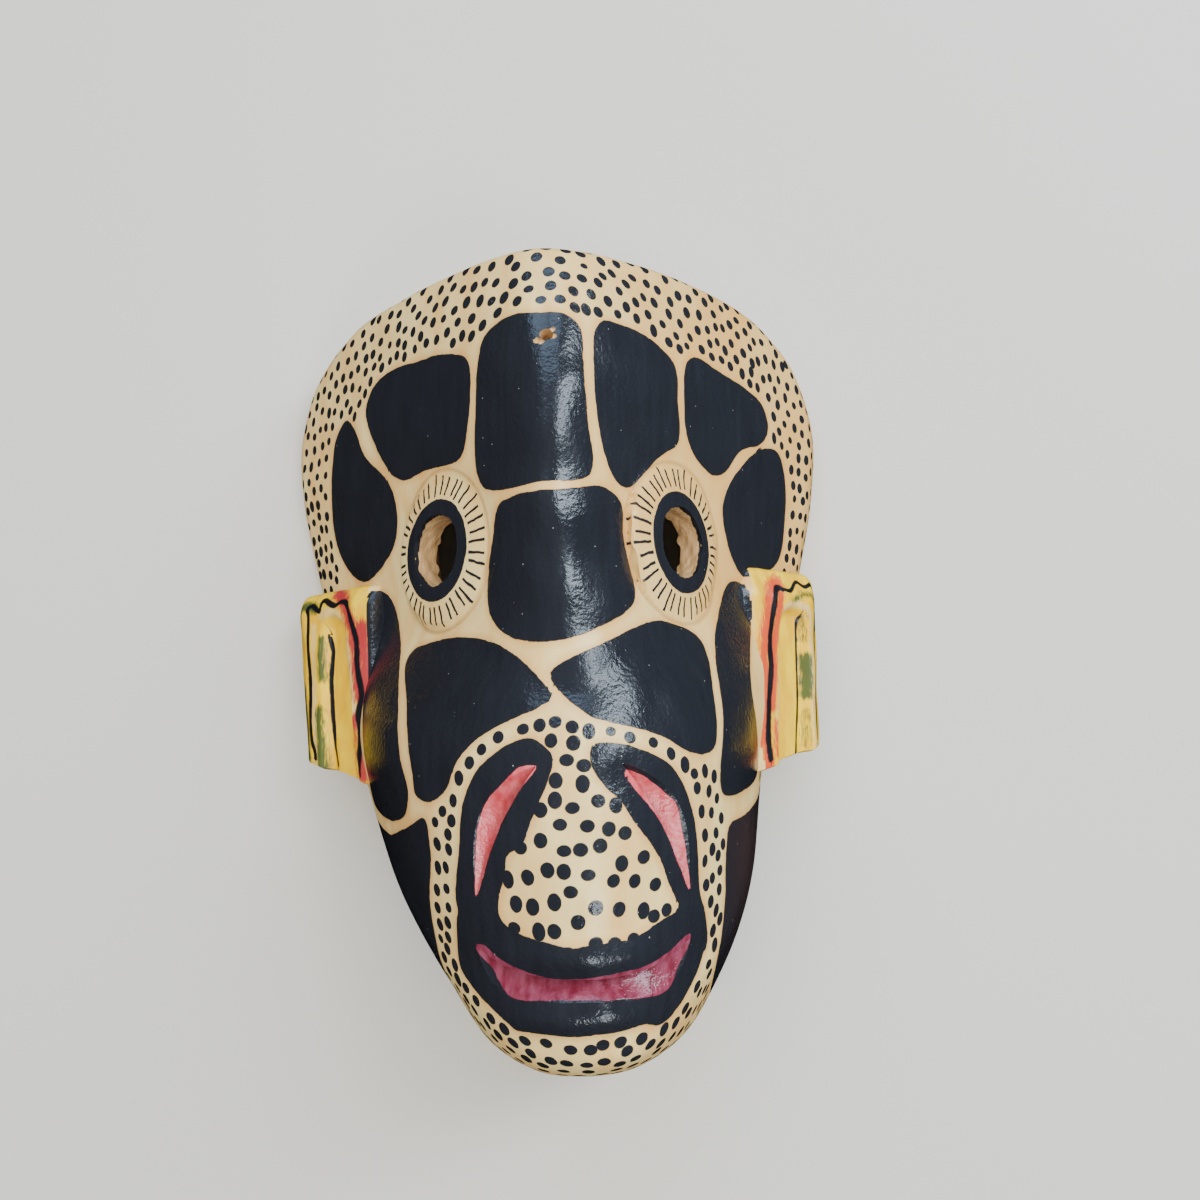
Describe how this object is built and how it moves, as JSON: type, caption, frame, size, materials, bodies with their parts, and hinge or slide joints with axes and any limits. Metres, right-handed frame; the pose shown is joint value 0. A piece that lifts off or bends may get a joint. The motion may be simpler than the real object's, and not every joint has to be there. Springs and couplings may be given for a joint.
{
  "type": "carved wooden tigre mask",
  "caption": "Hollow carved wooden tigre mask with a keeled forehead, a blunt muzzle, slab ears, bored eyes and a small hole to hang it by.",
  "frame": {"origin": "under the middle of the mask, on the surface that its back rim rests on", "axes": "+Z out of the face, +Y towards the forehead, +X towards the right of someone looking at the face"},
  "size_m": [0.1726, 0.2303, 0.1015],
  "materials": {
    "painted_wood": "glossy hand-painted enamel on carved wood"
  },
  "bodies": {
    "root": {"tigre_mask": "painted_wood"}
  },
  "joints": []
}
